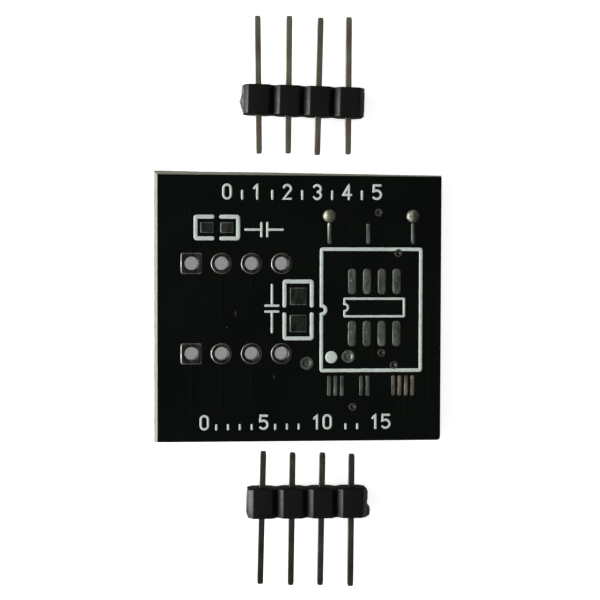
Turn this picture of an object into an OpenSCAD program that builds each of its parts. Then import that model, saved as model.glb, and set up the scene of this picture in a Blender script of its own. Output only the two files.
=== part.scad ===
// Adapter board for programming surface-mount memory chips, with its two loose pin strips.
// Millimetres. The origin is the middle of the board's underside, +X right, +Y up the board, +Z up.
// The strips lie on the same surface as the board, one beyond each end, as the kit is laid out.

/* [Board] */
// Width of the board
board_w = 24.4; // [23.4:0.1:26.4]
// Height of the board, at its left edge
board_h = 22.9; // [22.3:0.1:24.5]
// Overall thickness with both masks
board_t = 1.6; // [1:0.1:2.4]
// Radius of the routed corner at the lower right
corner_r = 0.3; // [0.1:0.1:1]
// Depth of the scoring cut in each face
score_depth = 0.45; // [0.2:0.05:0.45]
// Width of the bevel that the scoring cut leaves
score_bevel = 0.3; // [0.1:0.01:0.4]
// Width of the web left beyond the score, on the left
left_ledge = 0.02; // [0:0.01:0.1]
// Width of the web left beyond the score, at the upper left corner
upper_ledge = 0.05; // [0:0.01:0.15]
// Angle of the upper score
score_skew = -0.18; // [-0.5:0.01:0.5]
// Angle of the snapped upper edge
snap_skew = -0.72; // [-1:0.01:0.5]

/* [Copper and mask] */
// Thickness of the solder mask over the laminate
mask_t = 0.06; // [0.05:0.01:0.1]
// Thickness of the etched copper
copper_t = 0.035; // [0.018:0.001:0.04]
// How far a solder-coated land stands above the mask
land_proud = 0.03; // [0.01:0.01:0.06]
// Bare laminate round each land
mask_gap = 0.06; // [0.02:0.01:0.1]
// Width of a track
track_w = 0.25; // [0.15:0.01:0.26]
// Least gap between two tracks, or a track and a pad
track_gap = 0.13; // [0.1:0.01:0.14]
// Thickness of the white print
print_t = 0.02; // [0.01:0.005:0.03]

/* [Header holes] */
// Spacing of the holes along a row, and of the pins in a strip
pitch = 2.54; // [2.5:0.01:2.6]
// Distance between the two rows
row_spacing = 7.62; // [7.4:0.01:7.8]
// Distance of the rows' middle from the middle of the board, to the left
header_inset = 5.245; // [5.1:0.005:5.5]
// How far the rows' middle sits below the middle of the board
header_drop = 0.175; // [0:0.005:0.3]
// Finished diameter of a hole
hole_d = 1.14; // [1.12:0.02:1.2]
// Thickness of the plated copper wall
plating_t = 0.06; // [0.03:0.01:0.1]
// Side of a square pad and diameter of a round one
header_pad = 1.78; // [1.6:0.02:1.9]

/* [Vias] */
// Outer diameter of the two anchor vias
anchor_via_d = 1.14; // [1:0.02:1.3]
// Outer diameter of a medium via
medium_via_d = 1.1; // [1:0.02:1.2]
// Outer diameter of a small via
small_via_d = 0.66; // [0.56:0.02:0.74]
// Height of the solder bead on an anchor via
bead_rise = 0.2; // [0.1:0.02:0.3]
// Drill of a medium or anchor via
via_hole_d = 0.5; // [0.3:0.05:0.6]
// Depth of the solder plug below the face in a medium via
medium_plug_drop = 0.1; // [0.08:0.02:0.4]
// Depth of the solder plug below the face in a small via
small_plug_drop = 0.6; // [0.3:0.1:1]
// Drill of a small via
small_via_hole_d = 0.3; // [0.2:0.05:0.35]

/* [Narrow chip] */
// Spacing of the lands
narrow_pitch = 1.27; // [1.24:0.01:1.3]
// Distance between the rows of lands
narrow_rows = 4.43; // [4.3:0.01:4.6]
// Length of a land
narrow_land_l = 2.2; // [1.8:0.05:2.25]
// Width of a land
narrow_land_w = 0.72; // [0.5:0.01:0.74]
// Middle of the lands, right of the wide chip's middle
narrow_shift = 0.27; // [0.2:0.01:0.35]
// Middle of the lands, above the wide chip's middle
narrow_rise = 0.2; // [0.1:0.01:0.3]
// Length of the printed outline
narrow_print_l = 5.3; // [5:0.1:5.6]
// Width of the printed outline
narrow_print_w = 1.7; // [1.5:0.1:1.9]

/* [Wide chip] */
// Spacing of the lands
wide_pitch = 0.55; // [0.54:0.01:0.56]
// Distance between the rows of lands
wide_rows = 12.92; // [12.6:0.02:13.1]
// Length of a land
wide_land_l = 1.74; // [1.4:0.02:1.8]
// Width of a land
wide_land_w = 0.34; // [0.25:0.01:0.36]
// Gap between the large capacitor's print and the wide chip's print
wide_gap = 0.5; // [0.3:0.05:0.6]
// How far the chips and the large capacitor sit below the middle of the board
chip_drop = 0.295; // [0.1:0.005:0.35]
// Middle of an anchor via, above the middle of its land
anchor_rise = 1.5; // [1.4:0.05:1.6]
// Length of the printed outline, across the board
wide_print_l = 8.8; // [8.6:0.1:9]
// Height of the printed outline, up the board
wide_print_h = 10.6; // [10.4:0.1:10.7]

/* [Capacitors] */
// Middle of the small capacitor, left of the second column of header holes
small_cap_shift = 0.39; // [0.2:0.01:0.5]
// Middle of the small capacitor, above the upper row of header holes
small_cap_rise = 3.02; // [2.9:0.02:3.2]
// Middle of the large capacitor, right of the last column of header holes
large_cap_shift = 1.41; // [1.35:0.01:1.5]
// Distance between the middles of the small capacitor's lands
small_cap_pitch = 1.68; // [1.6:0.02:1.8]
// Length of a land of the small capacitor, along the capacitor
small_land_l = 1.14; // [1:0.02:1.2]
// Width of a land of the small capacitor
small_land_w = 0.94; // [0.8:0.02:1.1]
// Length of the small capacitor's print
small_print_l = 3.92; // [3.8:0.02:4]
// Width of the small capacitor's print
small_print_w = 2.16; // [2:0.02:2.3]
// Distance between the middles of the large capacitor's lands
large_cap_pitch = 2.3; // [2.2:0.02:2.4]
// Length of a land of the large capacitor, along the capacitor
large_land_l = 1.52; // [1.4:0.02:1.6]
// Width of a land of the large capacitor
large_land_w = 1.46; // [1.3:0.02:1.6]
// Length of the large capacitor's print
large_print_l = 5.16; // [5:0.02:5.3]
// Width of the large capacitor's print
large_print_w = 2.66; // [2.6:0.02:2.7]

/* [Print] */
// Width of a heavy printed line
heavy_line = 0.33; // [0.25:0.01:0.36]
// Width of the wide chip's printed line
outline_line = 0.25; // [0.2:0.01:0.3]
// Width of the narrow chip's printed line
fine_line = 0.2; // [0.15:0.01:0.25]
// Diameter of the pin-one dot
dot_d = 1.04; // [0.8:0.02:1.1]

/* [Pin strips] */
// Side of a square pin
pin_w = 0.5; // [0.4:0.02:0.64]
// Length of a pin above the insulator
pin_long = 5.8; // [5:0.1:7]
// Length of a pin below the insulator, on the upper strip
upper_pin_short = 3.23; // [2.5:0.01:4]
// Length of a pin below the insulator, on the lower strip
lower_pin_short = 3.03; // [2.5:0.01:4]
// Length of the tapered end of a pin
pin_taper = 0.3; // [0.2:0.05:0.8]
// Diameter of a pin's blunt end
pin_tip_d = 0.4; // [0.2:0.02:0.48]
// Length of the insulator along the pins
insulator_l = 2.54; // [2:0.02:3]
// Thickness of the insulator
insulator_t = 2.5; // [2.3:0.02:2.54]
// Width of the chamfer at the corners of each section
insulator_chamfer = 0.46; // [0.3:0.02:0.6]
// Depth of the notch between two sections
notch_depth = 0.38; // [0.2:0.02:0.6]
// Gap between a pin and its hole, all round
pin_gap = 0.01; // [0.005:0.005:0.02]
// Gap between the board and the pins of the upper strip
upper_strip_gap = 1.35; // [1:0.01:5]
// Gap between the board and the pins of the lower strip
lower_strip_gap = 0.93; // [0.5:0.01:5]
// Middle of the upper strip, right of the board's middle
upper_strip_shift = 0.4; // [0:0.01:1]
// Middle of the lower strip, right of the board's middle
lower_strip_shift = 0.77; // [0:0.01:1]
// Angle at which the upper strip lies
upper_strip_turn = -1.4; // [-3:0.1:3]
// Angle at which the lower strip lies
lower_strip_turn = -0.2; // [-3:0.1:3]

/* [Hidden] */
$fn = 48;

// Heights of the layers, from the underside up
copper_low = mask_t - copper_t;
laminate_low = mask_t;
laminate_high = board_t - mask_t;
land_high = board_t + land_proud;
reach = 1;
plug_t = 0.4;

// Edges of the board
left = -board_w / 2;
right = board_w / 2;
bottom = -board_h / 2;
top = board_h / 2;

// Places of the header holes: 1 to 4 along the lower row, 5 to 8 back along the upper row
header_cols = [for (i = [0:3]) (i - 1.5) * pitch - header_inset];
header_at = concat(
    [for (i = [0:3]) [header_cols[i], -row_spacing / 2 - header_drop]],
    [for (i = [3:-1:0]) [header_cols[i], row_spacing / 2 - header_drop]]
);
header_square = [0, 7];

// Places of the capacitors
small_cap_at = [header_cols[1] - small_cap_shift, header_at[4][1] + small_cap_rise];
large_cap_at = [header_cols[3] + large_cap_shift, -chip_drop];
cap_print_gap = 0.4;
print_corner_r = 0.2;

// Middles of the chips
wide_x = large_cap_at[0] + large_print_w / 2 + wide_gap + wide_print_l / 2;
wide_y = -chip_drop;
narrow_x = wide_x + narrow_shift;
narrow_y = wide_y + narrow_rise;

// Places of the lands of the narrow chip, 1 to 4 below and 5 to 8 back above
function narrow_land_at(i) = i < 4
    ? [narrow_x + (i - 1.5) * narrow_pitch, narrow_y - narrow_rows / 2]
    : [narrow_x + (5.5 - i) * narrow_pitch, narrow_y + narrow_rows / 2];

// Places of the lands of the wide chip, counted from 0 at the left of each row
function wide_col(i) = wide_x + (i - 6.5) * wide_pitch;
function wide_low_at(i) = [wide_col(i), wide_y - wide_rows / 2];
wide_left_cols = [0, 1, 2];
wide_middle_cols = [5, 6];
wide_right_cols = [10, 11, 12, 13];
anchor_cols = [0, 6, 13];
wide_low_end = wide_y - wide_rows / 2 - wide_land_l / 2;

// Places of the vias. The net that a via carries is the first part of its name.
anchor_via_y = wide_y + wide_rows / 2 + anchor_rise;
anchor_via_at = [[wide_col(0), anchor_via_y], [wide_col(13), anchor_via_y]];
supply_via_step = [0.74, -0.84];
clock_via_step = [-0.31, -1.95];
reset_via_step = [0, -1.65];
select_via_step = [-0.2, -2.68];
protect_via_step = [0.15, 2.4];
supply_top_step = [-0.27, 5.85];
protect_low_step = [0.93, -1.8];
supply_via = [large_cap_at[0], header_at[3][1]] + supply_via_step;
clock_via = narrow_land_at(0) + clock_via_step;
reset_via = narrow_land_at(2) + reset_via_step;
select_via = narrow_land_at(3) + select_via_step;
protect_via = narrow_land_at(4) + protect_via_step;
supply_top_via = narrow_land_at(5) + supply_top_step;
protect_low_via = wide_low_at(2) + protect_low_step;
medium_via_at = [supply_via, clock_via];
small_via_at = [supply_top_via, protect_via, reset_via, select_via, protect_low_via];

// The notch that marks the first end of each chip, and the dot at its first lead
wide_notch_r = 0.4;
narrow_notch_r = 0.34;
dot_step = [1, 1.28];
dot_at = [wide_x - wide_print_l / 2, wide_y - wide_print_h / 2] + dot_step;

// Places of the strips
upper_strip_at = [upper_strip_shift, top + upper_strip_gap + upper_pin_short + insulator_l / 2];
lower_strip_at = [lower_strip_shift, bottom - lower_strip_gap - lower_pin_short - insulator_l / 2];

// Middles of the pins in a strip, and how each pin leans and has slipped along its hole
strip_cols = [for (i = [0:3]) (i - 1.5) * pitch];
upper_pin_lean = [2.1, 1, 0.1, 1.2];
upper_pin_slip = [-0.01, 0.08, 0.03, 0.17];
lower_pin_lean = [-0.2, -0.7, -0.5, -1.1];
lower_pin_slip = [0.21, 0.09, 0.06, -0.07];
pin_z = insulator_t / 2;
// Where a strip is snapped off, a rough stub of the web stays: how far out, and where along the pins
upper_left_stub = [[0, 1.15], [0.12, 1.05], [0.16, 0.3], [0.34, -0.14], [0.18, -0.6], [0, -0.95]];
upper_right_stub = [[0, 1], [0.02, 0.8], [0.02, -0.9], [0, -1.1]];
lower_left_stub = [[0, 1.2], [0.3, 1.05], [0.34, 0.75], [0.3, 0.4], [0.04, 0.05], [0.04, -0.1], [0.1, -0.6],
                   [0.08, -0.95], [0, -1.15]];
lower_right_stub = [[0, 1.1], [0.1, 0.9], [0.08, 0.3], [0.05, -0.4], [0, -1.1]];
web_t = insulator_t - 2 * notch_depth;
stub_reach = 0.5;

mask_black = [0.05, 0.06, 0.05];
laminate_cream = [0.7, 0.72, 0.6];
copper_dark = [0.2, 0.14, 0.08];
solder_grey = [0.55, 0.54, 0.5];
print_white = [0.8, 0.84, 0.8];
plastic_black = [0.05, 0.05, 0.06];
pin_bronze = [0.42, 0.4, 0.33];

// Outlines in the plane of the board

module board_outline() {
    difference() {
        translate([left, bottom])
            square([board_w, board_h]);
        beyond(top, snap_skew);
        translate([right - corner_r, bottom])
            difference() {
                translate([0, -reach])
                    square([corner_r + reach, corner_r + reach]);
                translate([0, corner_r])
                    circle(corner_r);
            }
    }
}

// All that lies above a line that leaves the left edge at a height and an angle
module beyond(y, skew) {
    translate([left, y])
        rotate(skew)
            translate([-reach, 0])
                square([board_w + 2 * reach, 2 * reach]);
}

// The face of the board inside the two scored edges
module face_outline() {
    difference() {
        board_outline();
        translate([left - reach, bottom - reach])
            square([reach + left_ledge + score_bevel, board_h + 2 * reach]);
        beyond(top - upper_ledge - score_bevel, score_skew);
    }
}

module slot_outline(length, width) {
    run = length - width;
    square([width, run], center = true);
    for (side = [-1, 1])
        translate([0, side * run / 2])
            circle(width / 2);
}

module stroke(a, b, width) {
    run = norm(b - a);
    translate(a)
        rotate(atan2(b[1] - a[1], b[0] - a[0])) {
            translate([0, -width / 2])
                square([run, width]);
            circle(width / 2);
            translate([run, 0])
                circle(width / 2);
        }
}

module route(points, width = track_w) {
    for (i = [1:len(points) - 1])
        stroke(points[i - 1], points[i], width);
}

module header_pad_outline(i, grow = 0) {
    side = header_pad + 2 * grow;
    translate(header_at[i])
        if (len(search(i, header_square)) > 0)
            square([side, side], center = true);
        else
            circle(side / 2);
}

module via_pad_outline(at, diameter, grow = 0) {
    translate(at)
        circle(diameter / 2 + grow);
}

module narrow_lands_outline(places, grow = 0) {
    for (i = places)
        translate(narrow_land_at(i))
            slot_outline(narrow_land_l + 2 * grow, narrow_land_w + 2 * grow);
}

module wide_low_outline(cols, grow = 0) {
    for (i = cols)
        translate(wide_low_at(i))
            slot_outline(wide_land_l + 2 * grow, wide_land_w + 2 * grow);
}

// An anchor land runs up to its via, if it has one, and is cut by the via's pad
module anchor_land_outline(i, grow = 0) {
    low = wide_y + wide_rows / 2 - wide_land_l / 2;
    has_via = i != 6;
    length = has_via ? anchor_via_y - low : wide_land_l;
    difference() {
        translate([wide_col(i), low + length / 2])
            slot_outline(length + 2 * grow, wide_land_w + 2 * grow);
        if (has_via && grow == 0)
            translate([wide_col(i), anchor_via_y])
                circle(anchor_via_d / 2);
    }
}

module pair_outline(at, turn, spacing, size, grow = 0) {
    translate(at)
        rotate(turn)
            for (side = [-1, 1])
                translate([side * spacing / 2, 0])
                    square([size[0] + 2 * grow, size[1] + 2 * grow], center = true);
}

module small_cap_outline(grow = 0) {
    pair_outline(small_cap_at, 0, small_cap_pitch, [small_land_l, small_land_w], grow);
}

module large_cap_outline(grow = 0) {
    pair_outline(large_cap_at, 90, large_cap_pitch, [large_land_l, large_land_w], grow);
}

module all_pads(grow = 0) {
    for (i = [0:7])
        header_pad_outline(i, grow);
    for (at = anchor_via_at)
        via_pad_outline(at, anchor_via_d, grow);
    for (at = medium_via_at)
        via_pad_outline(at, medium_via_d, grow);
    for (at = small_via_at)
        via_pad_outline(at, small_via_d, grow);
}

module all_lands(grow = 0) {
    narrow_lands_outline([0:7], grow);
    wide_low_outline(concat(wide_left_cols, wide_middle_cols, wide_right_cols), grow);
    for (i = anchor_cols)
        anchor_land_outline(i, grow);
    small_cap_outline(grow);
    large_cap_outline(grow);
}

module all_drills() {
    for (at = header_at)
        translate(at)
            circle(hole_d / 2 + plating_t);
    for (at = concat(anchor_via_at, medium_via_at))
        translate(at)
            circle(via_hole_d / 2 + plating_t);
    for (at = small_via_at)
        translate(at)
            circle(small_via_hole_d / 2 + plating_t);
}

// Routes of the tracks. Each runs from pad to pad with square corners, which are then cut at 45 degrees.

function unit(v) = v / norm(v);

function cut_corners(p, cut) = concat(
    [p[0]],
    [for (i = [1:1:len(p) - 2]) each [p[i] + cut * unit(p[i - 1] - p[i]), p[i] + cut * unit(p[i + 1] - p[i])]],
    [p[len(p) - 1]]
);

module track(points, cut = track_turn) {
    route(cut_corners(points, cut));
}

track_turn = 0.6;
small_turn = 0.25;
// Lowest track, and the step between the tracks that run side by side below the chip
edge_run = 1.3;
run_step = 0.8;
data_in_y = bottom + edge_run;
clock_y = data_in_y + run_step;
reset_y = clock_y + run_step;
// The outermost track follows the upper and the right edge
data_out_inset = 0.9;
data_out_drop = 2.3;
data_out_x = right - data_out_inset;
data_out_y = top - data_out_drop;
data_out_low = wide_low_end - run_step;
// Free channels: between the rows of header holes, under the narrow chip, and below its lands
channel_low = header_at[0][1] + header_pad / 2 + track_gap + track_w / 2;
channel_high = channel_low + track_w + track_gap;
ground_y = large_cap_at[1] - large_cap_pitch / 2;
supply_y = large_cap_at[1] + large_cap_pitch / 2;
under_chip_y = narrow_y;
below_lands_rise = 0.2;
above_wide_gap = 0.5;
below_lands_y = reset_via[1] + below_lands_rise;
above_wide_y = wide_y - wide_rows / 2 + wide_land_l / 2 + above_wide_gap;

module top_routes() {
    track([header_at[0], [header_cols[0], data_in_y], [wide_col(12), data_in_y], wide_low_at(12)]);
    track([header_at[0], [header_cols[0] + pitch / 2, header_at[0][1]], [header_cols[0] + pitch / 2, channel_high],
           [narrow_land_at(0)[0], channel_high]], small_turn);
    track([header_at[1], [header_cols[1], clock_y], [wide_col(11), clock_y], wide_low_at(11)]);
    track([header_at[1], [header_cols[1] + pitch / 2, header_at[1][1]], [header_cols[1] + pitch / 2, channel_low],
           [clock_via[0] - track_turn, channel_low], [clock_via[0] - track_turn, clock_via[1]], clock_via],
          small_turn);
    track([clock_via, [clock_via[0], below_lands_y], [narrow_land_at(1)[0], below_lands_y], narrow_land_at(1)],
          small_turn);
    track([header_at[2], [header_cols[2], reset_y], [wide_col(1), reset_y], wide_low_at(1)]);
    track([narrow_land_at(2), reset_via]);
    track([narrow_land_at(3), select_via]);
    track([select_via, wide_low_at(10)]);
    track([header_at[7], [header_cols[0], data_out_y], [data_out_x, data_out_y], [data_out_x, data_out_low],
           [wide_col(13), data_out_low], wide_low_at(13)]);
    track([narrow_land_at(7), [narrow_land_at(7)[0], data_out_y]]);
    track([narrow_land_at(5), supply_top_via]);
    track([narrow_land_at(4), protect_via]);
    track([protect_low_via, [wide_col(2), wide_low_end - 0.1], wide_low_at(2)], 0.05);
    track([header_at[6], [header_cols[1], ground_y], [narrow_land_at(0)[0] - pitch, ground_y],
           [narrow_land_at(0)[0] - pitch, under_chip_y], [narrow_land_at(6)[0], under_chip_y], narrow_land_at(6)]);
    track([[narrow_land_at(6)[0], under_chip_y], [narrow_x, under_chip_y], [narrow_x, above_wide_y],
           [wide_col(6), above_wide_y], wide_low_at(6)], small_turn);
    track([header_at[5], [header_cols[2], supply_y], [large_cap_at[0], supply_y]]);
    track([header_at[6], [small_cap_at[0] - small_cap_pitch / 2, header_at[6][1] + pitch / 2],
           [small_cap_at[0] - small_cap_pitch / 2, small_cap_at[1]]], 0.2);
    track([header_at[5], [small_cap_at[0] + small_cap_pitch / 2, header_at[5][1] + pitch * 0.8],
           [small_cap_at[0] + small_cap_pitch / 2, small_cap_at[1]]], 0.2);
    track([supply_via, [supply_via[0], above_wide_y], [wide_col(5), above_wide_y], wide_low_at(5)], small_turn);
}

// Channels on the underside
reset_low_y = clock_via[1] - medium_via_d / 2 - 4 * track_w;
select_high_y = reset_via[1] + small_via_d / 2 + track_gap + track_w / 2;
column_gap = (header_cols[2] + header_cols[3]) / 2;
supply_low_y = header_at[0][1] - header_pad / 2 - track_gap - track_w / 2;
protect_x = wide_x + wide_print_l / 2 - wide_pitch;

module bottom_routes() {
    track([header_at[5], [header_cols[2], data_out_y], [supply_top_via[0], data_out_y], supply_top_via]);
    track([header_at[5], [header_cols[2], under_chip_y], [column_gap, under_chip_y], [column_gap, supply_low_y],
           [supply_via[0], supply_low_y], supply_via], small_turn);
    track([header_at[4], [header_cols[3], protect_via[1]], protect_via], small_turn);
    track([protect_via, [protect_x, protect_via[1]], [protect_x, protect_low_via[1]], protect_low_via]);
    track([header_at[2], [header_cols[2], reset_low_y], [reset_via[0], reset_low_y], reset_via]);
    track([header_at[3], [header_cols[3], select_high_y], [select_via[0], select_high_y], select_via], small_turn);
}

// Pieces of the board

module laminate() {
    color(laminate_cream)
        difference() {
            translate([0, 0, laminate_low])
                linear_extrude(laminate_high - laminate_low)
                    difference() {
                        board_outline();
                        all_drills();
                    }
            left_score_cuts();
            upper_score_cuts();
        }
}

// One scoring cut is a wedge; the board is snapped along its deepest line
module score_wedge(length) {
    rotate([90, 0, 90])
        linear_extrude(length)
            polygon([[0, -score_depth], [-score_bevel, 0], [-score_bevel, reach], [reach, reach], [reach, -score_depth]]);
}

module score_pair(length) {
    translate([0, 0, board_t])
        score_wedge(length);
    mirror([0, 0, 1])
        score_wedge(length);
}

module left_score_cuts() {
    translate([left + left_ledge, bottom - reach, 0])
        rotate(90)
            score_pair(board_h + 2 * reach);
}

module upper_score_cuts() {
    translate([left, top - upper_ledge, 0])
        rotate(score_skew)
            translate([-reach, 0, 0])
                score_pair(board_w + 2 * reach);
}

module mask_top() {
    color(mask_black)
        difference() {
            translate([0, 0, laminate_high])
                linear_extrude(mask_t)
                    difference() {
                        face_outline();
                        all_pads(mask_gap);
                        all_lands(mask_gap);
                    }
            translate([0, 0, laminate_high - reach])
                linear_extrude(copper_t + reach)
                    top_routes();
        }
}

module mask_bottom() {
    color(mask_black)
        difference() {
            linear_extrude(mask_t)
                difference() {
                    face_outline();
                    all_pads(mask_gap);
                }
            translate([0, 0, copper_low])
                linear_extrude(copper_t + reach)
                    bottom_routes();
        }
}

module tracks_top() {
    color(copper_dark)
        translate([0, 0, laminate_high])
            linear_extrude(copper_t)
                difference() {
                    top_routes();
                    all_pads();
                    all_lands();
                }
}

module tracks_bottom() {
    color(copper_dark)
        translate([0, 0, copper_low])
            linear_extrude(copper_t)
                difference() {
                    bottom_routes();
                    all_pads();
                }
}

// A plated hole: the barrel joins a pad on each face
module plated_barrel(at, bore) {
    translate([at[0], at[1], laminate_low])
        linear_extrude(laminate_high - laminate_low)
            difference() {
                circle(bore / 2 + plating_t);
                circle(bore / 2);
            }
}

module hole_plating(i) {
    color(solder_grey) {
        plated_barrel(header_at[i], hole_d);
        for (z = [0, laminate_high])
            translate([0, 0, z])
                linear_extrude(z == 0 ? mask_t : mask_t + land_proud)
                    difference() {
                        header_pad_outline(i);
                        translate(header_at[i])
                            circle(hole_d / 2);
                    }
    }
}

// A plug of solder stops a via's bore. Its top lies that far below the face.
module via(at, diameter, bore, plug_drop) {
    color(solder_grey) {
        plated_barrel(at, bore);
        translate([at[0], at[1], board_t - plug_drop - plug_t])
            cylinder(h = plug_t, r = bore / 2 + plating_t / 2);
        for (z = [0, laminate_high])
            translate([0, 0, z])
                linear_extrude(mask_t)
                    difference() {
                        via_pad_outline(at, diameter);
                        translate(at)
                            circle(bore / 2);
                    }
    }
}

// An anchor via is filled with solder, which stands up in a bead on the face
module filled_via(at) {
    color(solder_grey)
        translate([at[0], at[1], 0]) {
            cylinder(h = laminate_high + mask_t / 2, r = via_hole_d / 2 + plating_t);
            cylinder(h = mask_t, r = anchor_via_d / 2);
            translate([0, 0, laminate_high])
                cylinder(h = mask_t, r = anchor_via_d / 2);
            solder_bead();
        }
}

module solder_bead() {
    pad_r = anchor_via_d / 2;
    ball_r = (pad_r * pad_r + bead_rise * bead_rise) / (2 * bead_rise);
    intersection() {
        translate([0, 0, board_t + bead_rise - ball_r])
            sphere(ball_r);
        translate([0, 0, board_t - mask_t / 2])
            cylinder(h = bead_rise + mask_t, r = pad_r);
    }
}

module land_layer() {
    color(solder_grey)
        translate([0, 0, laminate_high])
            linear_extrude(mask_t + land_proud)
                children();
}

module print_layer() {
    color(print_white)
        translate([0, 0, board_t])
            linear_extrude(print_t)
                difference() {
                    children();
                    all_pads(mask_gap);
                    all_lands(mask_gap);
                }
}

module frame_outline(size, line) {
    difference() {
        square(size, center = true);
        square([size[0] - 2 * line, size[1] - 2 * line], center = true);
    }
}

module rounded_frame(size, line) {
    difference() {
        rounded_rect(size, print_corner_r);
        square([size[0] - 2 * line, size[1] - 2 * line], center = true);
    }
}

module rounded_rect(size, r) {
    square([size[0] - 2 * r, size[1]], center = true);
    square([size[0], size[1] - 2 * r], center = true);
    for (x = [-1, 1], y = [-1, 1])
        translate([x * (size[0] / 2 - r), y * (size[1] / 2 - r)])
            circle(r);
}

module wide_chip_print() {
    print_layer()
        translate([wide_x, wide_y]) {
            difference() {
                rounded_frame([wide_print_l, wide_print_h], outline_line);
                translate([-wide_print_l / 2, 0])
                    square([2 * outline_line + reach, 2 * wide_notch_r], center = true);
            }
            translate([-wide_print_l / 2 + outline_line / 2, 0])
                notch_outline(wide_notch_r, outline_line);
        }
}

module narrow_chip_print() {
    print_layer()
        translate([narrow_x, narrow_y]) {
            difference() {
                frame_outline([narrow_print_l, narrow_print_w], fine_line);
                translate([-narrow_print_l / 2, 0])
                    square([2 * fine_line + reach, 2 * narrow_notch_r], center = true);
            }
            translate([-narrow_print_l / 2 + fine_line / 2, 0])
                notch_outline(narrow_notch_r, fine_line);
        }
}

// A half ring that leads an outline round the notch at a chip's first end
module notch_outline(r, line) {
    difference() {
        circle(r + line / 2);
        circle(r - line / 2);
        translate([-2 * reach, -reach])
            square([2 * reach, 2 * reach]);
    }
}

module pin_one_dot() {
    print_layer()
        translate(dot_at)
            circle(dot_d / 2);
}

module small_capacitor_print() {
    print_layer()
        translate(small_cap_at)
            difference() {
                rounded_frame([small_print_l, small_print_w], heavy_line);
                square([cap_print_gap, small_print_w + reach], center = true);
            }
}

module large_capacitor_print() {
    print_layer()
        translate(large_cap_at)
            difference() {
                rounded_frame([large_print_w, large_print_l], heavy_line);
                square([large_print_w + reach, cap_print_gap], center = true);
            }
}

// Pieces of a pin strip. A strip lies flat, with its pins along Y and its long pin ends at +Y.

module on_strip(at, turn, long_up) {
    translate([at[0], at[1], 0])
        rotate(turn + (long_up ? 0 : 180))
            children();
}

module insulator_section() {
    c = insulator_chamfer;
    d = notch_depth;
    w = pitch / 2;
    t = insulator_t;
    polygon([[-w + c, 0], [w - c, 0], [w, d], [w, t - d], [w - c, t], [-w + c, t], [-w, t - d], [-w, d]]);
}

// The bore follows the lean of its pin, which is pressed in at that lean
module pin_place(i, lean) {
    translate([strip_cols[i], 0, pin_z])
        rotate(lean[i])
            children();
}

module strip_body(lean, left_stub, right_stub) {
    bore_w = pin_w + 2 * pin_gap;
    color(plastic_black)
        difference() {
            union() {
                rotate([90, 0, 0])
                    linear_extrude(insulator_l, center = true)
                        for (x = strip_cols)
                            translate([x, 0])
                                insulator_section();
                broken_stub(-1, left_stub);
                broken_stub(1, right_stub);
            }
            for (i = [0:3])
                pin_place(i, lean)
                    cube([bore_w, insulator_l + 2 * reach, bore_w], center = true);
        }
}

// The break runs out from both chamfers at their own slope
module broken_stub(side, form) {
    fall = stub_reach * notch_depth / insulator_chamfer;
    translate([side * 2 * pitch, 0, 0])
        intersection() {
            translate([0, 0, notch_depth])
                linear_extrude(web_t)
                    polygon([for (p = form) [side * p[0], p[1]]]);
            rotate([90, 0, 0])
                linear_extrude(2 * insulator_l, center = true)
                    polygon([[0, notch_depth], [side * stub_reach, notch_depth + fall],
                             [side * stub_reach, insulator_t - notch_depth - fall], [0, insulator_t - notch_depth]]);
        }
}

module strip_pin(i, lean, slip, pin_short) {
    length = pin_long + insulator_l + pin_short;
    straight = length - 2 * pin_taper;
    low = -insulator_l / 2 - pin_short;
    color(pin_bronze)
        pin_place(i, lean)
            translate([0, low + slip[i], 0])
                rotate([-90, 0, 0])
                    intersection() {
                        translate([-pin_w / 2, -pin_w / 2, 0])
                            cube([pin_w, pin_w, length]);
                        pin_envelope(length, straight);
                    }
}

// A revolved envelope rounds the four corners away towards each end of the pin
module pin_envelope(length, straight) {
    full = pin_w / 2 * sqrt(2) + pin_gap;
    tip = pin_tip_d / 2;
    rotate_extrude()
        polygon([[0, 0], [tip, 0], [full, pin_taper], [full, pin_taper + straight], [tip, length], [0, length]]);
}

laminate();
mask_top();
mask_bottom();
tracks_top();
tracks_bottom();
for (i = [0:7])
    hole_plating(i);
for (i = [0:1])
    filled_via(anchor_via_at[i]);
for (i = [0:1])
    via(medium_via_at[i], medium_via_d, via_hole_d, medium_plug_drop);
for (i = [0:4])
    via(small_via_at[i], small_via_d, small_via_hole_d, small_plug_drop);
land_layer() narrow_lands_outline([0:3]);  // narrow_lands_lower
land_layer() narrow_lands_outline([4:7]);  // narrow_lands_upper
land_layer() wide_low_outline(wide_left_cols);  // wide_lands_left
land_layer() wide_low_outline(wide_middle_cols);  // wide_lands_middle
land_layer() wide_low_outline(wide_right_cols);  // wide_lands_right
land_layer() anchor_land_outline(anchor_cols[0]);  // anchor_land_left
land_layer() anchor_land_outline(anchor_cols[1]);  // anchor_land_middle
land_layer() anchor_land_outline(anchor_cols[2]);  // anchor_land_right
land_layer() small_cap_outline();  // small_capacitor_lands
land_layer() large_cap_outline();  // large_capacitor_lands
wide_chip_print();
narrow_chip_print();
pin_one_dot();
small_capacitor_print();
large_capacitor_print();
on_strip(upper_strip_at, upper_strip_turn, true) strip_body(upper_pin_lean, upper_left_stub, upper_right_stub);  // upper_strip_body
for (i = [0:3])
    on_strip(upper_strip_at, upper_strip_turn, true)
            strip_pin(i, upper_pin_lean, upper_pin_slip, upper_pin_short);
on_strip(lower_strip_at, lower_strip_turn, false) strip_body(lower_pin_lean, lower_left_stub, lower_right_stub);  // lower_strip_body
for (i = [0:3])
    on_strip(lower_strip_at, lower_strip_turn, false)
            strip_pin(i, lower_pin_lean, lower_pin_slip, lower_pin_short);
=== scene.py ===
import math

import bmesh
import bpy
from mathutils import Matrix, Vector, noise


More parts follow.
